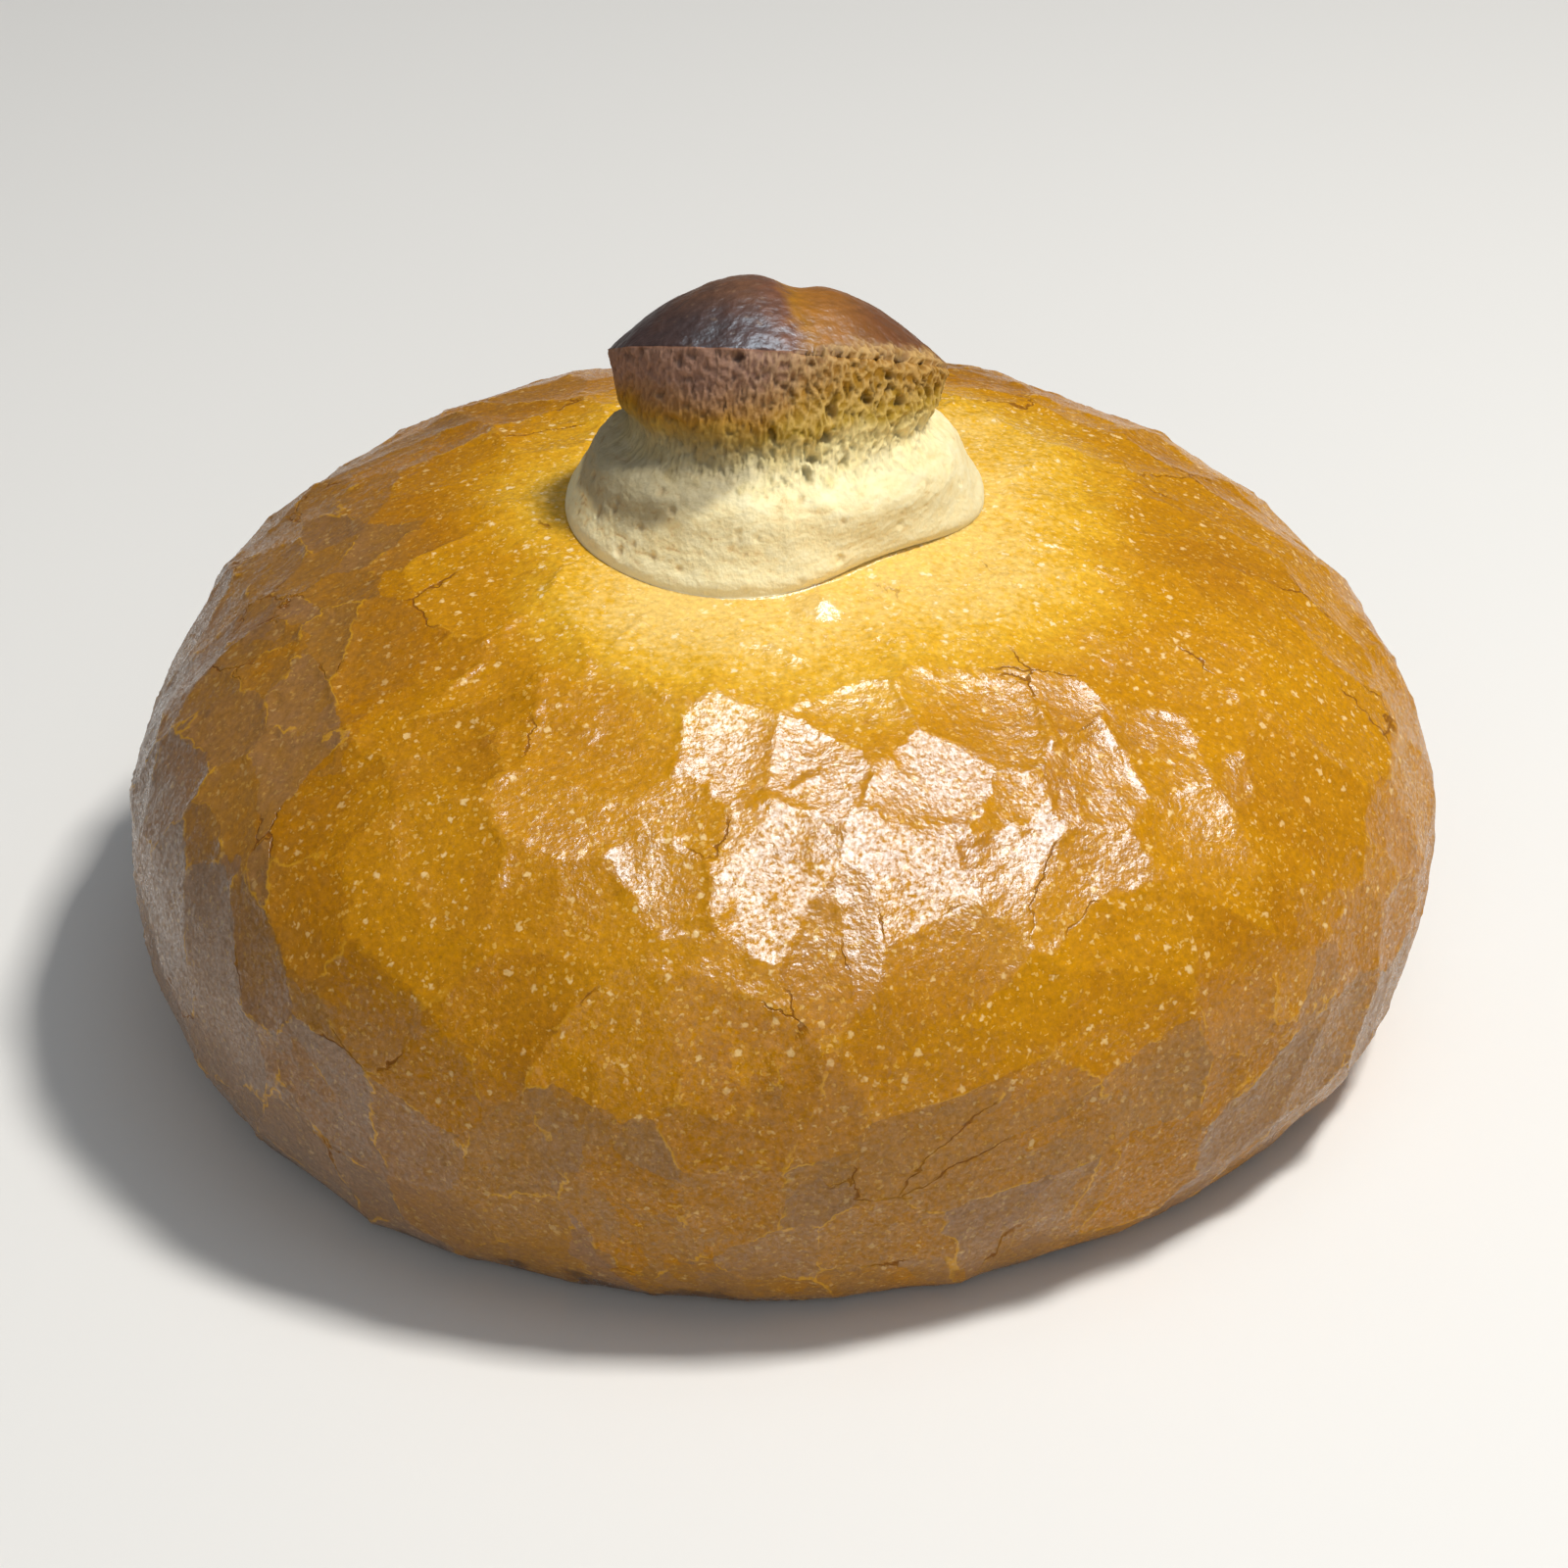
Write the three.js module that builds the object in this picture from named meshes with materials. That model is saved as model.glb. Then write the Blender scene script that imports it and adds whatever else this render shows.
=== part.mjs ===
// A round country loaf with a topknot, baked as one piece of dough. Millimetres, +Z up.
// It stands on its flat sole, and the torn front of the topknot faces -Y.
import * as THREE from 'three';

// The body of the loaf
const WIDTH = 240; // across the belly, the widest line
const BELLY_HEIGHT = 40;
const CROWN_HEIGHT = 100; // where the crown would close if it had no topknot
const SOLE_RADIUS = 102; // the flat crust that it was baked on
const HEEL_FULLNESS = 1.9; // exponents of the two curves: 2 is an ellipse, more is squarer
const CROWN_FULLNESS = 2.25;

// Dough never spreads evenly. Each line swells the outline by a fraction of its radius:
// waves around the loaf, size of the cosine, size of the sine.
const OUTLINE_SWELL = [
  [2, -0.006, 0.006],
  [3, 0.01, -0.007],
  [4, -0.008, -0.003],
  [5, 0.002, -0.007],
];

// Sections of the topknot, from the foot of the pale collar to the rim of the cap: half width,
// half depth, height of the middle, how far the middle is behind the axis, the slope that lifts
// the front and the tilt that lowers the right, in degrees. The knot leans back, so the torn wall
// below its rim is tallest in front.
const TOPKNOT = [
  { width: 38.0, depth: 37.0, height: 97.6, behind: 1.0, slope: 0, tilt: 0 },
  { width: 37.2, depth: 36.2, height: 99.8, behind: 1.0, slope: 0, tilt: 0 },
  { width: 35.9, depth: 34.9, height: 103.2, behind: 0.8, slope: 0, tilt: 0 },
  { width: 33.8, depth: 32.6, height: 107.2, behind: 0.6, slope: 1.5, tilt: 0 },
  { width: 30.8, depth: 29.5, height: 111.4, behind: 0.4, slope: 3.5, tilt: 0 },
  { width: 28.4, depth: 26.8, height: 115.4, behind: 0.4, slope: 6, tilt: 0 },
  { width: 28.4, depth: 25.4, height: 118.7, behind: 1.2, slope: 12.5, tilt: 0.8 },
  { width: 29.2, depth: 24.4, height: 122.2, behind: 2.2, slope: 21, tilt: 2.2 },
  { width: 30.3, depth: 24.2, height: 125.6, behind: 3.0, slope: 30, tilt: 3.6 },
];
const PINCH_DEPTH = 0.2; // at its front right the collar is drawn in and rides higher
const PINCH_LIFT = 2.5;
const PINCH_MIDDLE = -52; // degrees from +X
const PINCH_WIDTH = 34;
const PINCH_SECTIONS = 4; // it fades out over these sections
const CAP_RISE = 15.1; // height of the cap above the plane of its rim
const CAP_FULLNESS = 2.2;
const CREASE_PLACE = 2; // the fold that parts the cap into a high and a low lobe
const CREASE_TURN = 0.2;
const CREASE_DEPTH = 1.8;
const CREASE_WIDTH = 4.5;
const LOW_LOBE = 0.04; // how much lower the other lobe is

// How finely the surface is drawn
const TURN_STEPS = 64;
const HEEL_STEPS = 6;
const CROWN_STEPS = 12;
const STEPS_PER_SECTION = 2;
const CAP_STEPS = 6;

const BELLY_RADIUS = WIDTH / 2;

// A point of the loaf's body at a radius and a height. The uneven outline fades out inwards.
function bodyPoint(turn, radius, height) {
  const reach = radius / BELLY_RADIUS;
  let spread = radius;
  for (const [count, cosine, sine] of OUTLINE_SWELL) {
    spread += radius * reach * (cosine * Math.cos(count * turn) + sine * Math.sin(count * turn));
  }
  return new THREE.Vector3(spread * Math.cos(turn), spread * Math.sin(turn), height);
}

// Both curves of the body run a quarter turn: from flat on the sole to upright at the belly,
// and from there to flat over the crown.
function quarter(share, fullness) {
  const angle = share * (Math.PI / 2);
  return [Math.sin(angle) ** (2 / fullness), Math.cos(angle) ** (2 / fullness)];
}

function heelRing(share) {
  const [out, below] = quarter(share, HEEL_FULLNESS);
  const radius = SOLE_RADIUS + (BELLY_RADIUS - SOLE_RADIUS) * out;
  const height = BELLY_HEIGHT * (1 - below);
  return (turn) => bodyPoint(turn, radius, height);
}

function crownHeight(radius) {
  const rest = 1 - (radius / BELLY_RADIUS) ** CROWN_FULLNESS;
  return BELLY_HEIGHT + (CROWN_HEIGHT - BELLY_HEIGHT) * rest ** (1 / CROWN_FULLNESS);
}

function crownRing(share, neckRadius) {
  const [, out] = quarter(share, CROWN_FULLNESS);
  const radius = Math.max(neckRadius, BELLY_RADIUS * out);
  return (turn) => bodyPoint(turn, radius, crownHeight(radius));
}

// The cubic through four neighbouring sections, for each of their measures.
function between(place) {
  const last = TOPKNOT.length - 1;
  const index = Math.min(Math.floor(place), last - 1);
  const part = place - index;
  const pick = (step) => TOPKNOT[Math.min(Math.max(index + step, 0), last)];
  const section = {};
  for (const measure of Object.keys(TOPKNOT[0])) {
    const [a, b, c, d] = [-1, 0, 1, 2].map((step) => pick(step)[measure]);
    const linear = c - a;
    const square = 2 * a - 5 * b + 4 * c - d;
    const cube = 3 * (b - c) + d - a;
    section[measure] = b + 0.5 * part * (linear + part * (square + part * cube));
  }
  return section;
}

function sectionPoint(section, turn, scale, rise) {
  const slope = THREE.MathUtils.degToRad(section.slope);
  const tilt = THREE.MathUtils.degToRad(section.tilt);
  const across = section.width * scale * Math.cos(turn);
  const along = section.depth * scale * Math.sin(turn);
  return new THREE.Vector3(
    across,
    section.behind + along * Math.cos(slope) + rise * Math.sin(slope),
    section.height - across * Math.sin(tilt) - along * Math.sin(slope) + rise * Math.cos(slope),
  );
}

function knotRing(place) {
  const section = between(place);
  const share = Math.max(0, 1 - place / PINCH_SECTIONS);
  return (turn) => {
    let away = THREE.MathUtils.radToDeg(turn) - PINCH_MIDDLE;
    away -= 360 * Math.round(away / 360);
    const pinch = share * Math.exp(-((away / PINCH_WIDTH) ** 2));
    return sectionPoint(section, turn, 1 - PINCH_DEPTH * pinch, PINCH_LIFT * pinch);
  };
}

// The cap is a dome over its rim, higher to the left of the fold than to its right.
function capRing(share) {
  const rim = TOPKNOT[TOPKNOT.length - 1];
  const scale = Math.cos(share * (Math.PI / 2));
  return (turn) => {
    const across = rim.width * scale * Math.cos(turn);
    const along = rim.depth * scale * Math.sin(turn);
    const dome = 1 - scale ** CAP_FULLNESS;
    const fromCrease = across - CREASE_PLACE + CREASE_TURN * along;
    const crease = CREASE_DEPTH * Math.exp(-((fromCrease / CREASE_WIDTH) ** 2));
    const lobe = 1 - LOW_LOBE * THREE.MathUtils.smoothstep(fromCrease, -CREASE_WIDTH, CREASE_WIDTH);
    return sectionPoint(rim, turn, scale, dome * (CAP_RISE * lobe - crease));
  };
}

// The rings of the whole loaf, from the edge of the sole up to the last ring of the cap.
function loafRings() {
  const rings = [];
  for (let step = 0; step <= HEEL_STEPS; step += 1) {
    rings.push(heelRing(step / HEEL_STEPS));
  }
  const foot = TOPKNOT[0].width;
  for (let step = 1; step < CROWN_STEPS; step += 1) {
    const share = step / CROWN_STEPS;
    if (BELLY_RADIUS * quarter(share, CROWN_FULLNESS)[1] > foot + 6) {
      rings.push(crownRing(share, foot));
    }
  }
  rings.push(crownRing(1, foot + 4));
  const knotSteps = (TOPKNOT.length - 1) * STEPS_PER_SECTION;
  for (let step = 0; step <= knotSteps; step += 1) {
    rings.push(knotRing(step / STEPS_PER_SECTION));
  }
  for (let step = 1; step < CAP_STEPS; step += 1) {
    rings.push(capRing(step / CAP_STEPS));
  }
  return rings;
}

// One closed surface: a flat sole, the rings, and the top of the cap.
function loafGeometry() {
  const points = [new THREE.Vector3(0, 0, 0)];
  const rings = loafRings();
  for (const ring of rings) {
    for (let step = 0; step < TURN_STEPS; step += 1) {
      points.push(ring((step / TURN_STEPS) * 2 * Math.PI));
    }
  }
  points.push(capRing(1)(0));

  const faces = [];
  const at = (ring, step) => 1 + ring * TURN_STEPS + (step % TURN_STEPS);
  const top = points.length - 1;
  for (let step = 0; step < TURN_STEPS; step += 1) {
    faces.push(0, at(0, step + 1), at(0, step));
    for (let ring = 0; ring < rings.length - 1; ring += 1) {
      faces.push(at(ring, step), at(ring, step + 1), at(ring + 1, step + 1));
      faces.push(at(ring, step), at(ring + 1, step + 1), at(ring + 1, step));
    }
    faces.push(at(rings.length - 1, step), at(rings.length - 1, step + 1), top);
  }

  const geometry = new THREE.BufferGeometry().setFromPoints(points);
  geometry.setIndex(faces);
  geometry.computeVertexNormals();
  geometry.computeBoundingBox();
  const middle = geometry.boundingBox.getCenter(new THREE.Vector3());
  geometry.translate(-middle.x, -middle.y, 0); // the origin is under the middle of the loaf
  return geometry;
}

const crust = new THREE.MeshStandardMaterial({ color: 0xb8822f, roughness: 0.5, metalness: 0 });
const loaf = new THREE.Mesh(loafGeometry(), crust);
loaf.name = 'bread_loaf';

const part = new THREE.Group();
part.add(loaf);

export default part;
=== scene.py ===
"""The looks of a round country loaf with a topknot.

One fine mesh stands for the loaf. It follows the same curves as the CAD solid, and its crust,
collar, torn crumb and cap get their relief as real geometry. The relief and the materials read
the same cells and noises at the same places of the dough, so a plate of crust that stands out
in the mesh also has its own colour and its own edge.

Lengths in the shape and in the textures are in millimetres of dough. The mesh is in metres.
"""
import math

import bpy
import numpy as np
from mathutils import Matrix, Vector


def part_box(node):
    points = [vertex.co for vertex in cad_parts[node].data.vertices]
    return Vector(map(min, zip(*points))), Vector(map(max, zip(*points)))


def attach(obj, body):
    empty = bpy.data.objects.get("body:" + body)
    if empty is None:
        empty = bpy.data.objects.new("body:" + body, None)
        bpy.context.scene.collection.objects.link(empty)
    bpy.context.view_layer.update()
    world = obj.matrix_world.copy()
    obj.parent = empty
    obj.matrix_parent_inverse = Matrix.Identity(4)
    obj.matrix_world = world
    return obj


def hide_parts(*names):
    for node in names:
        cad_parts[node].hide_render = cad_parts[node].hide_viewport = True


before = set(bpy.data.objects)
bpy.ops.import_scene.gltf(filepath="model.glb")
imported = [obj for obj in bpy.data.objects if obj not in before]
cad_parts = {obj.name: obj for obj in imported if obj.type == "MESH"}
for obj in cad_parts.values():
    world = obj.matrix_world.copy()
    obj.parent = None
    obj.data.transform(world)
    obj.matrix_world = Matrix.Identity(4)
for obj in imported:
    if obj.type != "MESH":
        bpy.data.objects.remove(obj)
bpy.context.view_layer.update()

MM = 0.001

# The body of the loaf, as in the CAD solid
BELLY_RADIUS = 120.0
BELLY_HEIGHT = 40.0
CROWN_HEIGHT = 100.0
SOLE_RADIUS = 102.0
HEEL_FULLNESS = 1.9
CROWN_FULLNESS = 2.25
CROWN_CLEARANCE = 4.0  # from the foot of the topknot to the inner edge of the crown's curve
CROWN_SHARE = 0.94  # of the stretch; the rest of it leads on to the foot
OUTLINE_SWELL = ((2, -0.006, 0.006), (3, 0.010, -0.007), (4, -0.008, -0.003), (5, 0.002, -0.007))

# Sections of the topknot: half width, half depth, height of the middle, how far the middle is
# behind the axis, the slope that lifts the front and the tilt that lowers the right, in degrees
TOPKNOT = np.array((
    (38.0, 37.0, 97.6, 1.0, 0.0, 0.0),
    (37.2, 36.2, 99.8, 1.0, 0.0, 0.0),
    (35.9, 34.9, 103.2, 0.8, 0.0, 0.0),
    (33.8, 32.6, 107.2, 0.6, 1.5, 0.0),
    (30.8, 29.5, 111.4, 0.4, 3.5, 0.0),
    (28.4, 26.8, 115.4, 0.4, 6.0, 0.0),
    (28.4, 25.4, 118.7, 1.2, 12.5, 0.8),
    (29.2, 24.4, 122.2, 2.2, 21.0, 2.2),
    (30.3, 24.2, 125.6, 3.0, 30.0, 3.6),
))
WAIST_SECTION = 5
RIM_SECTION = 8
PINCH_DEPTH = 0.2
PINCH_LIFT = 2.5
PINCH_MIDDLE = -52.0
PINCH_WIDTH = 34.0
PINCH_SECTIONS = 4
CAP_RISE = 15.1
CAP_FULLNESS = 2.2
CREASE_PLACE = 2.0
CREASE_TURN = 0.2
CREASE_DEPTH = 1.8
CREASE_WIDTH = 4.5
LOW_LOBE = 0.04

# The stages of a line drawn over the loaf, from the middle of its sole to the top of its cap
SOLE_EDGE, BELLY, FOOT, WAIST, RIM, TOP = 1.0, 2.0, 3.0, 4.0, 5.0, 6.0

# The material slots of the mesh, in the order in which its finishes are added
SOLE_SLOT, CRUST_SLOT, CRUMB_SLOT, CAP_SLOT = range(4)

# How finely the mesh is drawn
TURN_STEPS = 800
MEASURING_STEPS = 300
ROW_SPACING = {"sole": 2.4, "heel": 0.8, "crown": 0.8, "collar": 0.36, "wall": 0.34, "cap": 0.5}

# The texture, one unit wide: a big disc for all above the sole, and a small one for the sole
BIG_DISC = 0.435
SMALL_DISC = 0.14
DISC_MARGIN = 0.01

# Plates of crust, and the chips that some of them have broken into
PLATE_SIZE = 17.0
PLATE_STRETCH = 24.0
PLATE_DRIFT = 3.0
PLATE_JAG = 4.0
PLATE_FLATNESS = 0.006
CHIP_SIZE = 7.5

# How far each part of the relief stands out of the dough, or goes into it
LUMP_RISE = 2.6
RIPPLE_RISE = 0.4
ROUGHNESS_RISE = 0.12
LOOSE_EDGE_RISE = 0.3
CRACK_DEPTH = 0.2
PIT_DEPTH = 0.9
LIP_RISE = 0.55
LIP_HOLLOW_DEPTH = 0.4
COLLAR_BULGE_RISE = 1.4
FIBRE_RISE = 0.42
DIMPLE_DEPTH = 0.4
WAIST_DEPTH = 1.9
WAIST_SWELL_RISE = 0.5
WALL_BULGE_RISE = 1.5
LARGE_PORE_DEPTH = 1.6
SMALL_PORE_DEPTH = 0.6
WEB_RISE = 0.35
CAP_BULGE_RISE = 1.1
CAP_WRINKLE_RISE = 0.16
FRAYED_RIM_DEPTH = 1.1
RIM_BULGE_RISE = 2.2

# The crust is swollen in one place, below the front of the collar
BLISTER = (8.0, -36.0, 98.3)
BLISTER_REACH = 7.0
BLISTER_RISE = 1.9


# ---------------------------------------------------------------- shape

def body_ring(turn, radius, height):
    """A ring of the loaf's body, with its uneven outline."""
    spread = np.full_like(turn, radius)
    for count, cosine, sine in OUTLINE_SWELL:
        wave = cosine * np.cos(count * turn) + sine * np.sin(count * turn)
        spread += radius * radius / BELLY_RADIUS * wave
    return np.stack((spread * np.cos(turn), spread * np.sin(turn), np.full_like(turn, height)), 1)


def quarter(share, fullness):
    """How far out and how far down a rounded quarter turn has come."""
    angle = share * math.pi / 2
    return math.sin(angle) ** (2 / fullness), max(math.cos(angle), 0.0) ** (2 / fullness)


def sole_ring(turn, share):
    return body_ring(turn, SOLE_RADIUS * share, 0.0)


def heel_ring(turn, share):
    out, below = quarter(share, HEEL_FULLNESS)
    radius = SOLE_RADIUS + (BELLY_RADIUS - SOLE_RADIUS) * out
    return body_ring(turn, radius, BELLY_HEIGHT * (1 - below))


def crown_ring(turn, share):
    """From the belly to the crust around the topknot's foot, and then down to the foot."""
    inner = TOPKNOT[0, 0] + CROWN_CLEARANCE
    _, out = quarter(min(share / CROWN_SHARE, 1.0), CROWN_FULLNESS)
    radius = inner + (BELLY_RADIUS - inner) * out
    rest = 1 - (radius / BELLY_RADIUS) ** CROWN_FULLNESS
    height = BELLY_HEIGHT + (CROWN_HEIGHT - BELLY_HEIGHT) * max(rest, 0.0) ** (1 / CROWN_FULLNESS)
    ring = body_ring(turn, radius, height)
    if share > CROWN_SHARE:
        way = (share - CROWN_SHARE) / (1 - CROWN_SHARE)
        ring += (knot_ring(turn, 0.0) - ring) * way
    return ring


def knot_section(place):
    """The topknot's section at a place between two of its listed ones, on a cubic through four."""
    index = min(int(place), RIM_SECTION - 1)
    part = place - index
    a, b, c, d = (TOPKNOT[min(max(index + step, 0), RIM_SECTION)] for step in (-1, 0, 1, 2))
    slope = c - a
    bend = 2 * a - 5 * b + 4 * c - d
    twist = 3 * (b - c) + d - a
    return b + 0.5 * part * (slope + part * (bend + part * twist))


def section_ring(turn, section, scale, rise):
    """A ring of the topknot: a section shrunk by a scale and raised square to its own slope."""
    width, depth, height, behind, slope, tilt = section
    slope, tilt = math.radians(slope), math.radians(tilt)
    across = width * scale * np.cos(turn)
    along = depth * scale * np.sin(turn)
    back = behind + along * math.cos(slope) + rise * math.sin(slope)
    up = height - across * math.sin(tilt) - along * math.sin(slope) + rise * math.cos(slope)
    return np.stack((across, back, up), 1)


def knot_ring(turn, place):
    """A ring of the collar or the wall, with the pinch at the collar's front right."""
    away = np.degrees(turn) - PINCH_MIDDLE
    away -= 360 * np.round(away / 360)
    pinch = max(0.0, 1 - place / PINCH_SECTIONS) * np.exp(-((away / PINCH_WIDTH) ** 2))
    return section_ring(turn, knot_section(place), 1 - PINCH_DEPTH * pinch, PINCH_LIFT * pinch)


def smooth_step(value, low, high):
    share = np.clip((value - low) / (high - low), 0, 1)
    return share * share * (3 - 2 * share)


def cap_ring(turn, share):
    """A ring of the cap, a dome with a crease between its high lobe and its low one."""
    scale = max(math.cos(share * math.pi / 2), 0.0)
    across = TOPKNOT[-1, 0] * scale * np.cos(turn)
    along = TOPKNOT[-1, 1] * scale * np.sin(turn)
    from_crease = across - CREASE_PLACE + CREASE_TURN * along
    crease = CREASE_DEPTH * np.exp(-((from_crease / CREASE_WIDTH) ** 2))
    lobe = 1 - LOW_LOBE * smooth_step(from_crease, -CREASE_WIDTH, CREASE_WIDTH)
    rise = (1 - scale**CAP_FULLNESS) * (CAP_RISE * lobe - crease)
    return section_ring(turn, TOPKNOT[-1], scale, rise)


def even_shares(ring, spacing):
    """Shares of a stretch at which its rings lie evenly spaced, without the first one."""
    dense = np.linspace(0, 1, MEASURING_STEPS + 1)
    sides = np.array((-math.pi / 2, 0.0, math.pi))
    line = np.stack([ring(sides, share) for share in dense])
    step = np.linalg.norm(np.diff(line, axis=0), axis=2).mean(axis=1)
    length = np.concatenate(((0.0,), np.cumsum(step)))
    count = max(2, round(length[-1] / spacing))
    return np.interp(np.linspace(0, length[-1], count + 1)[1:], length, dense), length[-1]


def loaf_rows():
    """The rings of the loaf and, for each, its stage and the length of crust up to it."""
    turn = np.arange(TURN_STEPS) / TURN_STEPS * 2 * math.pi + math.pi / 2  # the seam is behind
    wall = RIM_SECTION - WAIST_SECTION
    stretches = (
        ("sole", sole_ring, 0.0),
        ("heel", heel_ring, SOLE_EDGE),
        ("crown", crown_ring, BELLY),
        ("collar", lambda t, share: knot_ring(t, WAIST_SECTION * share), FOOT),
        ("wall", lambda t, share: knot_ring(t, WAIST_SECTION + wall * share), WAIST),
        ("cap", cap_ring, RIM),
    )
    rows, stages, lengths, past = [], [], [], 0.0
    for name, ring, first in stretches:
        shares, length = even_shares(ring, ROW_SPACING[name])
        for number, share in enumerate(shares):
            if name == "cap" and number == len(shares) - 1:
                break  # the top is one point
            rows.append(ring(turn, share))
            stages.append(first + share)
            lengths.append(past + length * (number + 1) / len(shares))
        past += length
    return np.stack(rows), np.array(stages), np.array(lengths), past


def bake_map(row_lengths, whole, sole_length):
    """Places of the rings' points on the texture's two discs."""
    turn = np.arange(TURN_STEPS + 1) / TURN_STEPS * 2 * math.pi
    circle = np.stack((np.cos(turn), np.sin(turn)), 1)
    out_on_sole = row_lengths[:, None, None] / sole_length * SMALL_DISC
    out_above = ((whole - row_lengths) / (whole - sole_length))[:, None, None] * BIG_DISC
    on_sole = out_on_sole * circle * (1, -1) + (1 - SMALL_DISC - DISC_MARGIN)
    return on_sole, out_above * circle + (BIG_DISC + DISC_MARGIN)


def loaf_faces(rows, top):
    """The corners of the quads between the rings, and of the triangles at the sole and the top."""
    near = np.arange(TURN_STEPS)
    far = (near + 1) % TURN_STEPS
    grid = 1 + np.arange(rows)[:, None] * TURN_STEPS
    low, high = grid[:-1], grid[1:]
    quads = np.stack((low + near, low + far, high + far, high + near), 2).reshape(-1, 4)
    sole_fan = np.stack((1 + far, 1 + near, np.zeros(TURN_STEPS, int)), 1)
    top_fan = np.stack((grid[-1] + near, grid[-1] + far, np.full(TURN_STEPS, top)), 1)
    return quads, np.concatenate((sole_fan, top_fan))


def smooth_mesh(name, corners, quads, triangles):
    mesh = bpy.data.meshes.new(name)
    loops = np.concatenate((quads.ravel(), triangles.ravel()))
    sizes = np.concatenate((np.full(len(quads), 4), np.full(len(triangles), 3)))
    mesh.vertices.add(len(corners))
    mesh.vertices.foreach_set("co", corners.ravel())
    mesh.loops.add(len(loops))
    mesh.loops.foreach_set("vertex_index", loops)
    mesh.polygons.add(len(sizes))
    mesh.polygons.foreach_set("loop_start", np.cumsum(sizes) - sizes)
    mesh.update(calc_edges=True)
    mesh.validate()
    mesh.polygons.foreach_set("use_smooth", np.ones(len(sizes), bool))
    return mesh


def build_loaf():
    """The smooth closed mesh, with the attributes that the relief and the materials read."""
    rings, stages, lengths, whole = loaf_rows()
    top_point = cap_ring(np.zeros(1), 1.0)
    corners = np.concatenate((np.zeros((1, 3)), rings.reshape(-1, 3), top_point))
    quads, triangles = loaf_faces(len(rings), len(corners) - 1)
    mesh = smooth_mesh("country_loaf", MM * (corners - off_middle(corners)), quads, triangles)

    dough = mesh.attributes.new("dough", "FLOAT_VECTOR", "POINT")
    dough.data.foreach_set("vector", corners.ravel())
    stage = mesh.attributes.new("stage", "FLOAT", "POINT")
    of_corners = np.concatenate(((0.0,), np.repeat(stages, TURN_STEPS), (TOP,)))
    stage.data.foreach_set("value", of_corners)

    middle = (stages[:-1] + stages[1:]) / 2
    of_rows = np.select(
        (middle < SOLE_EDGE, middle < FOOT, middle < RIM),
        (SOLE_SLOT, CRUST_SLOT, CRUMB_SLOT),
        CAP_SLOT,
    )
    slots = np.repeat((*of_rows, SOLE_SLOT, CAP_SLOT), TURN_STEPS)
    mesh.polygons.foreach_set("material_index", slots.astype(np.int32))

    on_sole, on_top = bake_map(lengths, whole, lengths[np.searchsorted(stages, SOLE_EDGE)])
    sole_rows = np.searchsorted(middle, SOLE_EDGE)
    flat = np.concatenate((
        patches(on_sole[: sole_rows + 1]),
        patches(on_top[sole_rows:]),
        fan(on_sole[0, ::-1]),
        fan(on_top[-1]),
    ))
    mesh.uv_layers.new(name="OFBake").uv.foreach_set("vector", flat.ravel())

    loaf = bpy.data.objects.new("country_loaf", mesh)
    bpy.context.scene.collection.objects.link(loaf)
    return loaf


def off_middle(corners):
    """How far the middle of these points is from the middle of the CAD solid."""
    low, high = (np.array(corner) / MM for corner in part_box("bread_loaf"))
    off = (corners.min(axis=0) + corners.max(axis=0) - low - high) / 2
    return off * (1, 1, 0)


def patches(points):
    """Corner places of the quads between the rings of a map."""
    low, high = points[:-1], points[1:]
    return np.stack((low[:, :-1], low[:, 1:], high[:, 1:], high[:, :-1]), 2).reshape(-1, 2)


def fan(ring):
    """Corner places of the triangles from a ring of a map to its middle."""
    middle = np.broadcast_to(ring[:-1].mean(axis=0), (TURN_STEPS, 2))
    return np.stack((ring[:-1], ring[1:], middle), 1).reshape(-1, 2)


loaf = build_loaf()


# ---------------------------------------------------------------- nodes

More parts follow.
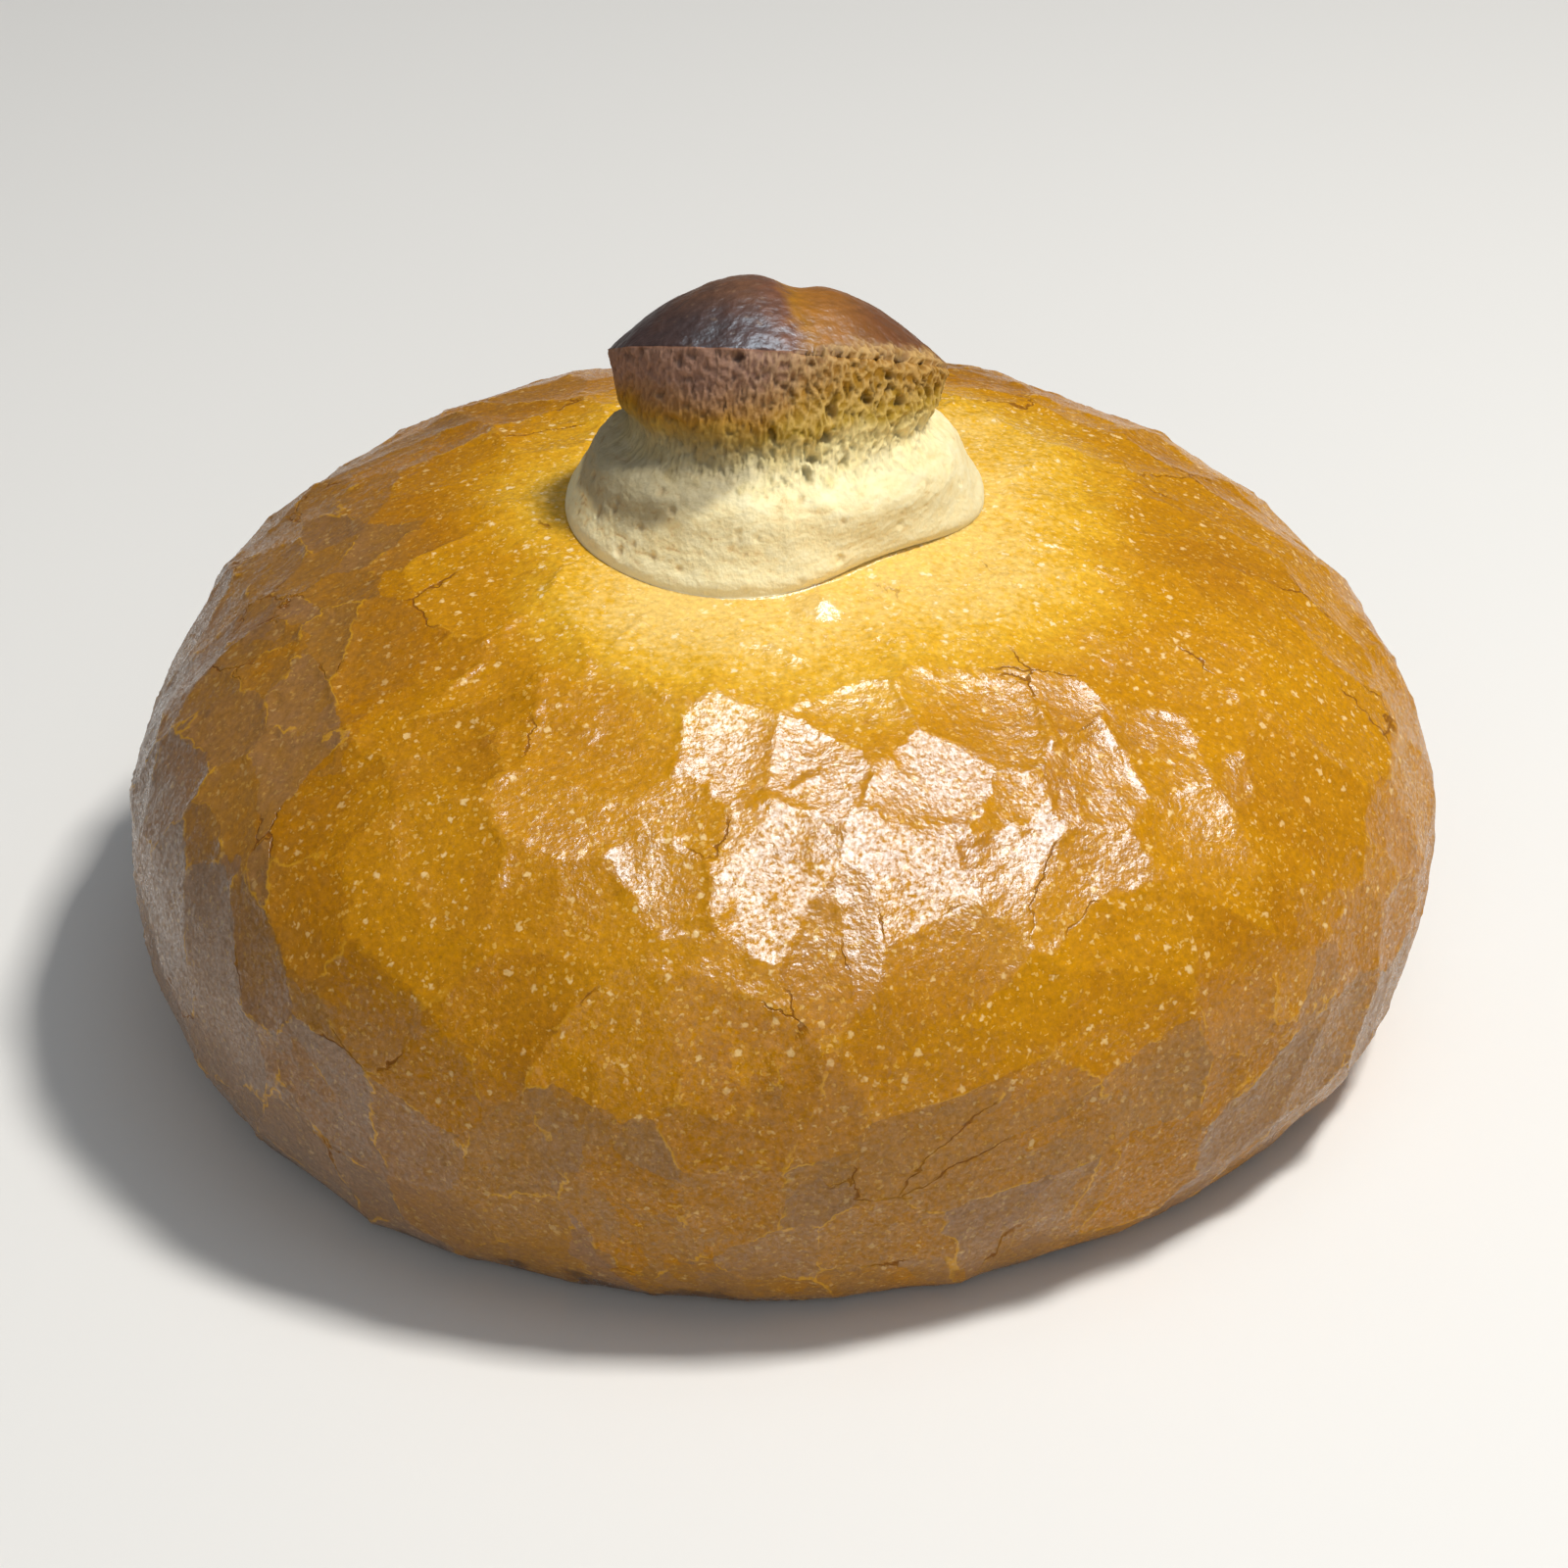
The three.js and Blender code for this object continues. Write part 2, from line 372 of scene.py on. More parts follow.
class Graph:
    """Short words for adding and joining the nodes of one tree."""

    def __init__(self, tree):
        self.tree = tree

    def feed(self, socket, value):
        if isinstance(value, bpy.types.NodeSocket):
            self.tree.links.new(value, socket)
        else:
            socket.default_value = value

    def add(self, kind, inputs=(), **settings):
        node = self.tree.nodes.new(kind)
        for name, value in settings.items():
            setattr(node, name, value)
        for name, value in dict(inputs).items():
            self.feed(node.inputs[name], value)
        return node

    def math(self, operation, *values, clamp=False):
        node = self.add("ShaderNodeMath", operation=operation, use_clamp=clamp)
        for socket, value in zip(node.inputs, values):
            self.feed(socket, value)
        return node.outputs[0]

    def plus(self, first, *others):
        for other in others:
            first = self.math("ADD", first, other)
        return first

    def times(self, first, *others):
        for other in others:
            first = self.math("MULTIPLY", first, other)
        return first

    def less(self, first, second):
        return self.math("SUBTRACT", first, second)

    def vector(self, operation, *values):
        node = self.add("ShaderNodeVectorMath", operation=operation)
        for socket, value in zip(node.inputs, values):
            self.feed(socket, value)
        return node.outputs["Value" if operation in ("DOT_PRODUCT", "LENGTH") else "Vector"]

    def ramp(self, value, low, high, start=0.0, end=1.0):
        """Goes smoothly from start, where the value is low, to end, where it is high."""
        node = self.add("ShaderNodeMapRange", interpolation_type="SMOOTHSTEP")
        for socket, number in zip(node.inputs, (value, low, high, start, end)):
            self.feed(socket, number)
        return node.outputs[0]

    def near(self, value, middle, width):
        """1 where the value is at the middle, and 0 from the width away."""
        away = self.math("ABSOLUTE", self.less(value, middle))
        return self.ramp(away, 0.0, width, 1.0, 0.0)

    def parts(self, vector):
        """The three numbers of a vector or of a colour."""
        return self.add("ShaderNodeSeparateXYZ", {"Vector": vector}).outputs

    def noise(self, place, size, detail=2.0, roughness=0.5):
        values = {"Vector": place, "Scale": 1 / size, "Detail": detail, "Roughness": roughness}
        return self.add("ShaderNodeTexNoise", values).outputs

    def swing(self, place, size, detail=2.0, roughness=0.5):
        """A noise from about -0.5 to 0.5."""
        return self.less(self.noise(place, size, detail, roughness)[0], 0.5)

    def drift(self, place, size, reach, detail=2.0):
        """The place moved about by a noise."""
        away = self.vector("SUBTRACT", self.noise(place, size, detail)["Color"], (0.5, 0.5, 0.5))
        return self.vector("ADD", place, self.vector("MULTIPLY", away, (reach,) * 3))

    def cells(self, place, size, feature="F1", smoothness=None):
        inputs = {"Vector": place, "Scale": 1 / size}
        node = self.add("ShaderNodeTexVoronoi", inputs, feature=feature)
        if smoothness is not None:
            node.inputs["Smoothness"].default_value = smoothness
        return node.outputs

    def blend(self, share, first, second):
        """From the first colour, where the share is 0, to the second one, where it is 1."""
        node = self.add("ShaderNodeMix", data_type="RGBA")
        self.feed(node.inputs[0], share)
        for index, colour in ((6, first), (7, second)):  # the colours of a Mix node
            socket = isinstance(colour, bpy.types.NodeSocket)
            self.feed(node.inputs[index], colour if socket else (*colour, 1.0))
        return node.outputs[2]

    def scale_colour(self, colour, amount):
        """The colour made lighter or darker."""
        node = self.add("ShaderNodeVectorMath", operation="SCALE")
        self.feed(node.inputs[0], colour)
        self.feed(node.inputs["Scale"], amount)
        return node.outputs[0]

    def colours(self, value, stops):
        """The colour at a value between the stops, each a place and its colour."""
        node = self.add("ShaderNodeValToRGB", {"Fac": value})
        ramp = node.color_ramp
        while len(ramp.elements) < len(stops):
            ramp.elements.new(0.5)
        for element, (place, colour) in zip(ramp.elements, stops):
            element.position = place
            element.color = (*colour, 1.0)
        return node.outputs["Color"]


# ---------------------------------------------------------------- relief, shared with the materials

def plate_bed(g, dough):
    """The dough, stretched here and drawn together there, so that plates differ in size."""
    return g.drift(g.drift(dough, 40.0, PLATE_STRETCH, 0.0), 12.0, PLATE_DRIFT)


def jagged(g, bed):
    """The bed shaken about, so that the edges of its plates break as crust does."""
    return g.drift(bed, 3.0, PLATE_JAG, 3.0)


def edge_distance(g, place, size):
    """How far a place is from the edge of its plate, in millimetres."""
    return g.times(g.cells(place, size, "DISTANCE_TO_EDGE")["Distance"], size)


def flat_plates(g, place, size):
    """Takes the roundness out of each plate, so that the plates meet along soft ridges."""
    reach = g.times(g.cells(place, size)["Distance"], size)
    return g.times(reach, reach, PLATE_FLATNESS)


def lifted_edges(g, place, edge, width):
    """Where the edge of a plate has come loose, from 0 to 1 at the edge itself."""
    loose = g.ramp(g.swing(place, 6.5, 1.0), 0.0, 0.1)
    return g.times(loose, g.ramp(edge, 0.06, width, 1.0, 0.0))


def pit_field(g, dough, size, share, radius):
    """Pits in a share of the cells of this size, as a depth from 0 to 1."""
    cell = g.cells(g.drift(dough, size / 3, size / 6), size)
    chosen = g.math("LESS_THAN", g.parts(cell["Color"])[0], share)
    return g.times(chosen, g.ramp(cell["Distance"], 0.3 * radius / size, radius / size, 1.0, 0.0))


def pore_field(g, dough):
    """Torn crumb: its large pores, its small ones, and the webs of dough between them."""
    torn = g.drift(g.vector("MULTIPLY", dough, (1.0, 1.0, 0.72)), 2.6, 2.8, 3.0)
    cell = g.cells(torn, 3.2, "SMOOTH_F1", 0.25)
    some = g.ramp(g.parts(cell["Color"])[0], 0.66, 0.72)
    large = g.times(some, g.ramp(cell["Distance"], 0.12, 0.46, 1.0, 0.0))
    small = g.ramp(g.noise(torn, 1.5, 2.0, 0.6)[0], 0.5, 0.32)
    webs = g.ramp(edge_distance(g, torn, 1.7), 0.04, 0.34, 1.0, 0.0)
    return large, small, webs


def torn_skin(g, dough, stage):
    """How far the tear has frayed the cap's skin: over its rim at the right, not at the left."""
    x, y, _ = g.parts(dough)
    ragged = g.times(g.swing(dough, 5.0, 3.0), 0.4)
    above_tear = g.plus(stage, ragged, g.ramp(x, -4.0, 12.0, 0.2, -0.2))
    return g.times(g.ramp(above_tear, RIM + 0.12, RIM - 0.02), g.ramp(y, 6.0, -4.0))


def fibre_field(g, dough):
    """Stretched dough: fine streaks that lie round the collar."""
    along = g.vector("MULTIPLY", g.drift(dough, 8.0, 5.0), (0.6, 0.6, 2.0))
    return g.swing(along, 2.0, 4.0, 0.65)


def bake_level(g, dough):
    """How far the crust is baked, from pale by the topknot to brown at the heel; it is also darker
    to the left and at the lower left.
    """
    x, y, z = g.parts(dough)
    from_axis = g.vector("LENGTH", g.vector("MULTIPLY", dough, (1.0, 1.0, 0.0)))
    return g.plus(
        g.ramp(from_axis, 36.0, 80.0, 0.0, 0.42),
        g.ramp(g.less(x, y), 12.0, -38.0, 0.0, 0.15),
        g.ramp(z, 72.0, 34.0, 0.0, 0.24),
        g.ramp(x, -46.0, -104.0, 0.0, 0.24),
        g.times(g.ramp(z, 56.0, 24.0), g.ramp(x, 10.0, -60.0), 0.16),
        g.times(g.swing(dough, 34.0, 2.0), 0.45),
    )


class Relief(Graph):
    """A tree of geometry nodes that works on one mesh."""

    def __init__(self, name):
        tree = bpy.data.node_groups.new(name, "GeometryNodeTree")
        tree.interface.new_socket("Geometry", in_out="INPUT", socket_type="NodeSocketGeometry")
        tree.interface.new_socket("Geometry", in_out="OUTPUT", socket_type="NodeSocketGeometry")
        super().__init__(tree)
        self.flow = self.add("NodeGroupInput").outputs["Geometry"]

    def read(self, name, kind="FLOAT"):
        node = self.add("GeometryNodeInputNamedAttribute", {"Name": name}, data_type=kind)
        return node.outputs[0]

    def keep(self, name, value, kind="FLOAT"):
        """Stores a value on the mesh's points, for the materials, and returns the stored one."""
        node = self.add("GeometryNodeStoreNamedAttribute", {"Geometry": self.flow, "Name": name})
        node.data_type = kind
        node.domain = "POINT"
        self.feed(next(s for s in node.inputs if s.name == "Value" and s.enabled), value)
        self.flow = node.outputs["Geometry"]
        return self.read(name, kind)

    def push(self, height):
        """Moves the points along their normals, by a height in millimetres."""
        normal = self.add("GeometryNodeInputNormal").outputs[0]
        offset = self.scale_colour(normal, self.times(height, MM))
        node = self.add("GeometryNodeSetPosition", {"Geometry": self.flow, "Offset": offset})
        self.feed(self.add("NodeGroupOutput").inputs["Geometry"], node.outputs["Geometry"])


def crust_relief(g, dough, stage, bed, opened, chipped, pits):
    """Flat plates that meet along ridges, with loose edges and open cracks round a few."""
    place = jagged(g, bed)
    edge = edge_distance(g, place, PLATE_SIZE)
    plates = g.plus(
        flat_plates(g, bed, PLATE_SIZE),
        g.times(chipped, flat_plates(g, bed, CHIP_SIZE)),
    )
    return g.plus(
        g.times(plates, g.ramp(stage, FOOT - 0.03, FOOT - 0.1)),
        g.times(lifted_edges(g, place, edge, 1.4), LOOSE_EDGE_RISE),
        g.times(opened, g.ramp(edge, 0.1, 0.6, 1.0, 0.0), -CRACK_DEPTH),
        g.times(pits, -PIT_DEPTH),
        g.times(g.swing(dough, 2.4), ROUGHNESS_RISE),
        g.times(g.swing(dough, 16.0), RIPPLE_RISE),
    )


def collar_relief(g, dough, stage, fibres, dimples):
    """A lip round the foot, a hollow above it, and the fibres and dimples of stretched dough."""
    uneven = g.plus(stage, g.times(g.swing(dough, 14.0), 0.3))
    return g.plus(
        g.times(g.near(uneven, FOOT + 0.14, 0.26), LIP_RISE),
        g.times(g.near(uneven, FOOT + 0.42, 0.3), -LIP_HOLLOW_DEPTH),
        g.times(fibres, FIBRE_RISE),
        g.times(dimples, -DIMPLE_DEPTH),
        g.times(g.swing(dough, 10.0), COLLAR_BULGE_RISE),
    )


def waist_relief(g, dough, stage):
    """Draws the waist in under the cap, and swells the collar just below it."""
    around_waist = g.plus(stage, g.times(g.swing(dough, 9.0), 0.3))
    return g.plus(
        g.times(g.near(around_waist, WAIST + 0.06, 0.34), -WAIST_DEPTH),
        g.times(g.near(around_waist, WAIST - 0.26, 0.22), WAIST_SWELL_RISE),
    )


def wall_relief(g, dough, large, small, webs):
    """Torn crumb: ragged all over, and with deeper pores at the right."""
    torn = g.plus(
        g.times(large, -LARGE_PORE_DEPTH),
        g.times(small, -SMALL_PORE_DEPTH),
        g.times(webs, WEB_RISE),
    )
    deeper = g.ramp(g.parts(dough)[0], -14.0, 8.0, 0.75, 1.0)
    ragged = g.swing(g.vector("MULTIPLY", dough, (1.0, 1.0, 0.5)), 6.0, 4.0)
    return g.plus(g.times(torn, deeper), g.times(ragged, WALL_BULGE_RISE))


def add_relief(loaf):
    """Gives the smooth mesh its relief, and stores on it what the materials read."""
    g = Relief("baked_relief")
    dough, stage = g.read("dough", "FLOAT_VECTOR"), g.read("stage")
    on_crust = g.times(
        g.ramp(stage, SOLE_EDGE + 0.02, SOLE_EDGE + 0.35),
        g.ramp(stage, FOOT - 0.08, FOOT - 0.01, 1.0, 0.0),
    )
    on_collar = g.times(
        g.ramp(stage, FOOT - 0.02, FOOT + 0.3),
        g.ramp(stage, WAIST - 0.2, WAIST + 0.05, 1.0, 0.0),
    )
    frayed = g.keep("frayed", torn_skin(g, dough, stage))
    below_rim = g.ramp(stage, RIM - 0.1, RIM - 0.005, 1.0, 0.0)
    above_waist = g.ramp(stage, WAIST - 0.25, WAIST + 0.1)
    on_wall = g.times(above_waist, g.math("MAXIMUM", below_rim, frayed))
    on_cap = g.times(g.ramp(stage, RIM, RIM + 0.12), g.less(1.0, frayed))

    bed = g.keep("bed", plate_bed(g, dough), "FLOAT_VECTOR")
    g.keep("bake", bake_level(g, dough))
    # in a few patches the gaps have opened, and in about half of the crust the plates are chipped
    opened = g.keep("opened", g.ramp(g.noise(dough, 21.0, 1.0)[0], 0.62, 0.67))
    chipped = g.keep("chipped", g.ramp(g.noise(dough, 27.0)[0], 0.5, 0.56))
    pits = g.keep("pits", pit_field(g, dough, 24.0, 0.35, 1.0))
    large, small, webs = pore_field(g, dough)
    g.keep("pores", g.math("MAXIMUM", large, g.times(small, 0.7)))
    g.keep("webs", webs)
    fibres = g.keep("fibres", fibre_field(g, dough))
    dimples = g.keep("dimples", pit_field(g, dough, 3.6, 0.45, 1.2))

    off_sole = g.ramp(stage, SOLE_EDGE, SOLE_EDGE + 0.5)
    lumps = g.times(g.swing(dough, 48.0, 1.0), LUMP_RISE, off_sole)
    from_blister = g.vector("LENGTH", g.vector("SUBTRACT", dough, BLISTER))
    blister = g.times(
        g.ramp(from_blister, 0.0, BLISTER_REACH, 1.0, 0.0),
        g.ramp(stage, FOOT, FOOT - 0.03),
    )
    cap = g.plus(
        g.times(g.swing(dough, 1.6), CAP_WRINKLE_RISE),
        g.times(g.swing(dough, 8.0, 3.0), CAP_BULGE_RISE),
    )
    g.push(g.plus(
        lumps,
        g.times(blister, BLISTER_RISE),
        g.times(on_crust, crust_relief(g, dough, stage, bed, opened, chipped, pits)),
        g.times(on_collar, collar_relief(g, dough, stage, fibres, dimples)),
        g.times(on_wall, wall_relief(g, dough, large, small, webs)),
        waist_relief(g, dough, stage),
        g.times(on_cap, cap),
        g.times(g.near(stage, RIM, 0.1), frayed, -FRAYED_RIM_DEPTH),
        g.times(g.near(stage, RIM, 0.14), g.swing(dough, 6.0, 3.0), RIM_BULGE_RISE),
    ))

    loaf.modifiers.new("relief", "NODES").node_group = g.tree
    smooth = loaf.data
    shaped = loaf.evaluated_get(bpy.context.evaluated_depsgraph_get())
    loaf.data = bpy.data.meshes.new_from_object(shaped)
    loaf.modifiers.clear()
    bpy.data.meshes.remove(smooth)


# ---------------------------------------------------------------- finishes

# How each surface colours as it bakes: a place from 0 to 1, and the colour there
CRUST_BAKING_AND_SHEEN = (
    (0.0, (0.82, 0.54, 0.14)),
    (0.15, (0.72, 0.40, 0.02)),
    (0.34, (0.54, 0.24, 0.001)),
    (0.56, (0.41, 0.162, 0.001)),
    (0.70, (0.32, 0.147, 0.024)),
    # these last, greyish browns are partly the crust's own brown and partly a painted reflection,
    # the grey sheen of the sky on the brownest crust
    (0.83, (0.275, 0.14, 0.057)),
    (0.98, (0.245, 0.145, 0.08)),
)
CRUMB_BAKING = (
    (0.0, (0.82, 0.76, 0.50)),
    (0.14, (0.72, 0.60, 0.27)),
    (0.28, (0.38, 0.235, 0.015)),
    (0.54, (0.31, 0.145, 0.006)),
    (0.70, (0.26, 0.125, 0.04)),
    (0.95, (0.245, 0.13, 0.085)),
)
# Other ranges of colour: the collar from its hollows to its ridges, the cap from its left to its
# right, and the sole from its darkest patches to its lightest
COLLAR_CREAMS = (
    (0.2, (0.90, 0.70, 0.34)),
    (0.42, (0.97, 0.83, 0.46)),
    (0.7, (0.97, 0.87, 0.54)),
)
CAP_BROWNS = (
    (0.06, (0.05, 0.027, 0.023)),
    (0.30, (0.08, 0.036, 0.027)),
    (0.42, (0.17, 0.062, 0.024)),
    (0.50, (0.31, 0.13, 0.002)),
    (0.57, (0.33, 0.13, 0.004)),
    (0.68, (0.30, 0.115, 0.008)),
    (0.92, (0.16, 0.055, 0.012)),
)
SOLE_BROWNS = (
    (0.3, (0.20, 0.095, 0.035)),
    (0.5, (0.36, 0.18, 0.06)),
    (0.7, (0.50, 0.29, 0.11)),
)
# Single colours
PALE_DUST, GOLDEN_DUST = (0.97, 0.74, 0.34), (0.87, 0.54, 0.12)
PALE_DOT, GOLDEN_DOT = (0.98, 0.84, 0.54), (0.92, 0.66, 0.28)
LOOSE_EDGE = (0.64, 0.32, 0.015)
OPEN_CRACK = (0.18, 0.06, 0.01)
BURNT_HEEL = (0.07, 0.035, 0.018)
PIT_BOTTOM = (0.16, 0.06, 0.02)
PALE_THREAD = (0.85, 0.66, 0.32)
TAN_HOLLOW = (0.66, 0.42, 0.16)
PALE_LIP = (0.96, 0.87, 0.54)
# a painted shadow: the shade that the cap casts on the collar's left
PAINTED_CAP_SHADOW = (0.25, 0.20, 0.115)
SKIN_EDGE = (0.30, 0.14, 0.08)
CAP_CROWN = (0.20, 0.085, 0.03)
CAP_DOT = (0.5, 0.34, 0.2)
FLOUR = (0.78, 0.68, 0.5)
BURNT_SOLE = (0.09, 0.045, 0.02)


def effect_group(name, outputs, build, inputs=()):
    """A shader node group. build(g, inputs) gives the values of its outputs, in order."""
    tree = bpy.data.node_groups.new(name, "ShaderNodeTree")
    for label, kind, value in inputs:
        tree.interface.new_socket(label, in_out="INPUT", socket_type=kind).default_value = value
    for label, kind in outputs:
        tree.interface.new_socket(label, in_out="OUTPUT", socket_type=kind)
    g = Graph(tree)
    taken = g.add("NodeGroupInput").outputs
    sink = g.add("NodeGroupOutput")
    for (label, _), value in zip(outputs, build(g, taken)):
        g.feed(sink.inputs[label], value)
    return tree


VALUE, COLOUR, VECTOR = "NodeSocketFloat", "NodeSocketColor", "NodeSocketVector"


def make_plates(g, taken):
    """Each plate's own tone, middle and lean, and the lifted edges and gaps of a few."""
    place = jagged(g, taken["Bed"])
    plate, chip = g.cells(place, PLATE_SIZE), g.cells(place, CHIP_SIZE)
    own, chip_own = g.parts(plate["Color"]), g.parts(chip["Color"])
    tone = g.plus(
        g.less(own[1], 0.5),
        g.times(g.less(chip_own[1], 0.5), taken["Chipped"], 0.7),
    )
    lean = g.vector("SUBTRACT", plate["Color"], (0.5, 0.5, 0.5))
    chip_lean = g.vector("SUBTRACT", chip["Color"], (0.5, 0.5, 0.5))
    lean = g.vector("ADD", lean, g.scale_colour(chip_lean, g.times(taken["Chipped"], 0.6)))
    edge = edge_distance(g, place, PLATE_SIZE)
    gap = g.times(taken["Opened"], g.ramp(edge, 0.07, 0.3, 1.0, 0.0))
    rim = lifted_edges(g, place, edge, 0.4)
    return tone, plate["Position"], lean, rim, gap


def make_specks(g, taken):
    """Pale grains of flour and small blisters baked into the surface."""
    dough = g.drift(taken["Dough"], 0.7, 1.1, 0.0)

    def grains(size, largest, share):
        cell = g.cells(dough, size)
        own = g.parts(cell["Color"])
        reach = g.times(own[1], own[1], largest)
        some = g.math("GREATER_THAN", own[0], 1 - share)
        return g.times(some, g.ramp(cell["Distance"], reach, g.plus(reach, 0.2), 1.0, 0.0))

    return grains(2.4, 0.17, 0.62), grains(1.05, 0.32, 0.85)


def make_grain(g, taken):
    """The fine orange-peel grain of a baked skin, in millimetres."""
    dough = taken["Dough"]
    grain = g.plus(g.times(g.swing(dough, 1.6, 0.0), 0.1), g.times(g.swing(dough, 0.7, 1.0), 0.09))
    return (g.times(grain, taken["Depth"]),)


DOUGH = ("Dough", VECTOR, (0.0, 0.0, 0.0))
PLATES = effect_group(
    "Cracked plates",
    (("Tone", VALUE), ("Middle", VECTOR), ("Lean", VECTOR), ("Rims", VALUE), ("Gaps", VALUE)),
    make_plates,
    (("Bed", VECTOR, (0.0, 0.0, 0.0)), ("Opened", VALUE, 0.0), ("Chipped", VALUE, 0.0)),
)
SPECKS = effect_group("Pale specks", (("Dots", VALUE), ("Dust", VALUE)), make_specks, (DOUGH,))
GRAIN = effect_group("Skin grain", (("Height", VALUE),), make_grain, (DOUGH, ("Depth", VALUE, 1.0)))


def make_crumb(g, taken):
    """Torn crumb: cream by the waist, golden above, and brown to the rim; painted shade makes it
    darker to the left, with duller webs there.
    """
    dough = taken["Dough"]
    x = g.parts(dough)[0]
    up_wall = g.ramp(taken["Stage"], WAIST - 0.05, RIM)
    browned = g.plus(up_wall, g.times(g.swing(dough, 6.0, 3.0), 0.4), 0.13)
    # the ramps along x darken the crumb to the left and pale its webs and threads to the right:
    # painted shade on the crumb's left side
    crumb = g.colours(g.times(browned, g.ramp(x, -10.0, 14.0, 1.0, 0.5)), CRUMB_BAKING)
    pale = g.times(taken["Webs"], g.ramp(x, -12.0, 8.0, 0.36, 0.58))
    threads = g.blend(g.ramp(x, -16.0, 10.0, 0.06, 0.4), g.scale_colour(crumb, 1.7), PALE_THREAD)
    crumb = g.blend(pale, crumb, threads)
    # the pores are darkened to about a third of the crumb's colour: painted shade in them
    return (g.blend(g.times(taken["Pores"], 0.75), crumb, g.scale_colour(crumb, 0.36)),)


CRUMB = effect_group(
    "Torn crumb",
    (("Colour", COLOUR),),
    make_crumb,
    (DOUGH, ("Stage", VALUE, 0.0), ("Pores", VALUE, 0.0), ("Webs", VALUE, 0.0)),
)


class Finish(Graph):
    """A material with one Principled shader, and the two things that all of them read."""

    def __init__(self, name):
        self.material = bpy.data.materials.new(name)
        self.material.use_nodes = True
        super().__init__(self.material.node_tree)
        self.tree.nodes.clear()
        self.shader = self.add("ShaderNodeBsdfPrincipled")
        output = self.add("ShaderNodeOutputMaterial", {"Surface": self.shader.outputs["BSDF"]})
        output.is_active_output = True
        self.dough = self.add("ShaderNodeAttribute", attribute_name="dough").outputs["Vector"]
        self.stage = self.add("ShaderNodeAttribute", attribute_name="stage").outputs["Fac"]

    def stored(self, name, output="Fac"):
        return self.add("ShaderNodeAttribute", attribute_name=name).outputs[output]

    def effect(self, group, **inputs):
        node = self.add("ShaderNodeGroup", node_tree=group)
        for name, value in inputs.items():
            self.feed(node.inputs[name], value)
        return node.outputs

    def surface(self, colour, roughness, height):
        """Joins the shader to what varies over the surface. The height is in millimetres."""
        bump = self.add("ShaderNodeBump", {"Distance": MM, "Height": height})
        self.feed(self.shader.inputs["Base Color"], colour)
        self.feed(self.shader.inputs["Roughness"], roughness)
        self.feed(self.shader.inputs["Normal"], bump.outputs["Normal"])
        return bump

    def glaze(self, bump, weight, lean):
        """A glossy coat over the surface. The lean tips both of them."""
        normal = self.add("ShaderNodeNewGeometry").outputs["Normal"]
        leaning = self.vector("NORMALIZE", self.vector("SUBTRACT", normal, lean))
        self.feed(bump.inputs["Normal"], leaning)
        self.feed(self.shader.inputs["Coat Weight"], weight)
        self.feed(self.shader.inputs["Coat Normal"], bump.outputs["Normal"])

    def fixed(self, **values):
        """Sets what is the same all over the surface."""
        for name, value in values.items():
            self.shader.inputs[name.replace("_", " ")].default_value = value


def crust_colour(m, bake, plates, specks):
    """The baked colour of the crust, with a painted grey sheen in its brownest parts, and its dust,
    specks, edges, cracks, burns and pits.
    """
    mottle = m.plus(1.0, m.times(m.swing(m.dough, 1.1, 2.0, 0.7), 0.8))
    colour = m.scale_colour(m.colours(bake, CRUST_BAKING_AND_SHEEN), mottle)
    browner = m.ramp(bake, 0.08, 0.5)
    dust = m.times(specks["Dust"], m.ramp(bake, 0.35, 0.75, 0.44, 0.16))
    colour = m.blend(dust, colour, m.blend(browner, PALE_DUST, GOLDEN_DUST))
    dots = m.times(specks["Dots"], m.ramp(bake, 0.35, 0.75, 0.7, 0.2))
    colour = m.blend(dots, colour, m.blend(browner, PALE_DOT, GOLDEN_DOT))
    loose = m.times(plates["Rims"], m.ramp(bake, 0.35, 0.6, 0.1, 0.62))
    colour = m.blend(loose, colour, LOOSE_EDGE)
    colour = m.blend(m.times(plates["Gaps"], 0.78), colour, OPEN_CRACK)

    to_right = m.ramp(m.parts(m.dough)[0], -10.0, 40.0, 0.0, 0.16)
    up_heel = m.plus(m.stage, m.times(m.swing(m.dough, 7.0, 4.0), 0.6), to_right)
    burnt = m.ramp(up_heel, SOLE_EDGE + 0.4, SOLE_EDGE + 0.26)
    colour = m.blend(m.times(burnt, 0.75), colour, BURNT_HEEL)
    return m.blend(m.times(m.stored("pits"), 0.8), colour, PIT_BOTTOM)


